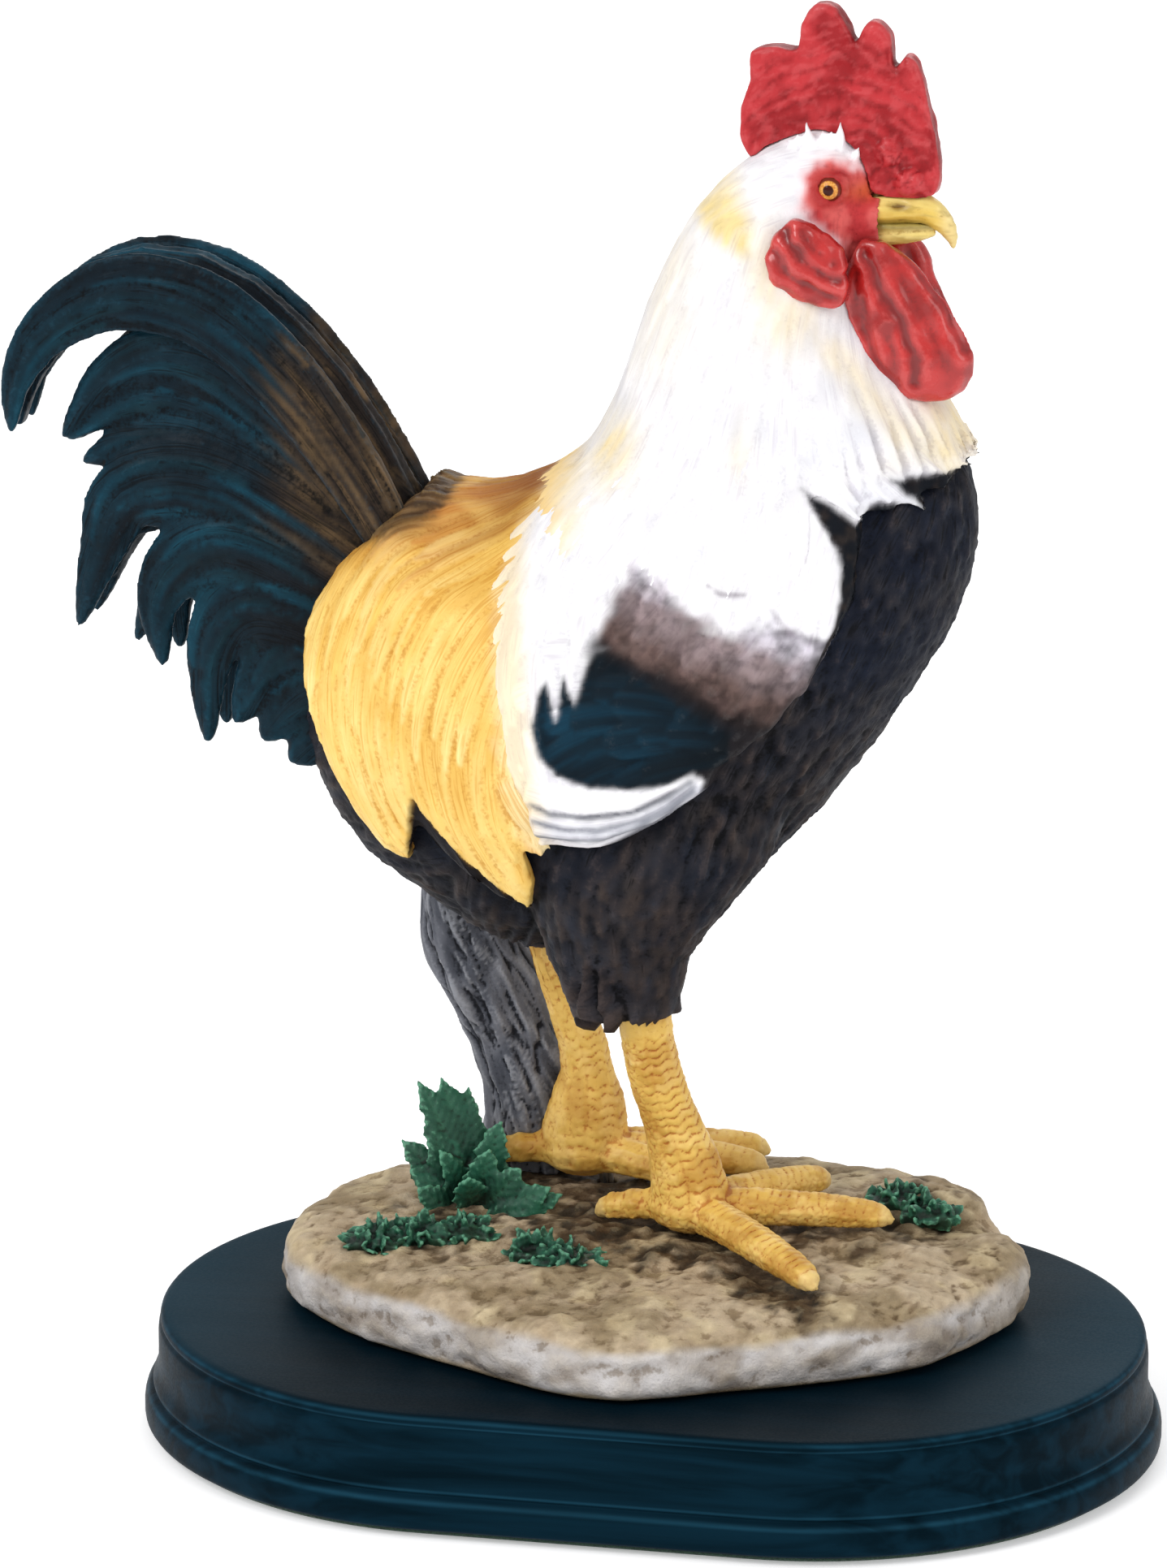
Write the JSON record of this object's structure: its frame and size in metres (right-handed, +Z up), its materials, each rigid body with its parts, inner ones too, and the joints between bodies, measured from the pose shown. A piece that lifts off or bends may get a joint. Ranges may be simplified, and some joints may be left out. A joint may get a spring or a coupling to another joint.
{
  "type": "rooster figurine",
  "caption": "Painted resin figurine of a standing rooster with an upright comb and sickle tail, on modelled rocky ground over an oval lacquered wooden stand",
  "frame": {"origin": "middle of the underside of the felt, on the surface that the figurine stands on", "axes": "+X toward the beak, along the long side of the stand; +Y toward the left side of the bird; +Z up"},
  "size_m": [0.2175, 0.1302, 0.2678],
  "materials": {
    "felt": "pressed wool felt",
    "lacquered_wood": "satin black lacquer",
    "steel": "bright drawn steel",
    "resin_earth": "matt paint with a brown wash",
    "resin_driftwood": "matt grey paint, dry-brushed",
    "resin_leaf": "satin dark green paint",
    "resin_black": "matt black paint with brown dry-brushing",
    "resin_white": "matt off-white paint",
    "resin_red": "glossy red paint",
    "resin_beak": "satin yellow paint",
    "eye_enamel": "glossy enamel",
    "resin_gold": "satin golden yellow paint",
    "resin_teal": "satin blue-black paint",
    "resin_leg": "satin yellow paint with a brown wash"
  },
  "bodies": {
    "root": {"felt_base": "felt", "wood_stand": "lacquered_wood", "stand_screw_rear": "steel", "stand_screw_front": "steel", "ground_casting": "resin_earth", "stump": "resin_driftwood", "leaf_clump": "resin_leaf", "moss_left": "resin_leaf", "moss_front": "resin_leaf", "moss_right": "resin_leaf", "leg_wire_right": "steel", "leg_wire_left": "steel", "leg_right": "resin_leg", "leg_left": "resin_leg", "body": "resin_black", "tail_pin": "steel", "neck_pin": "steel", "tail_fan": "resin_teal", "sickle_right": "resin_teal", "sickle_left": "resin_teal", "saddle_right": "resin_gold", "saddle_left": "resin_gold", "wing_right": "resin_white", "wing_left": "resin_white", "neck_head": "resin_white", "comb": "resin_red", "earlobe_right": "resin_red", "earlobe_left": "resin_red", "wattle_right": "resin_red", "wattle_left": "resin_red", "beak_upper": "resin_beak", "beak_lower": "resin_beak", "eye_right": "eye_enamel", "eye_left": "eye_enamel"}
  },
  "joints": []
}
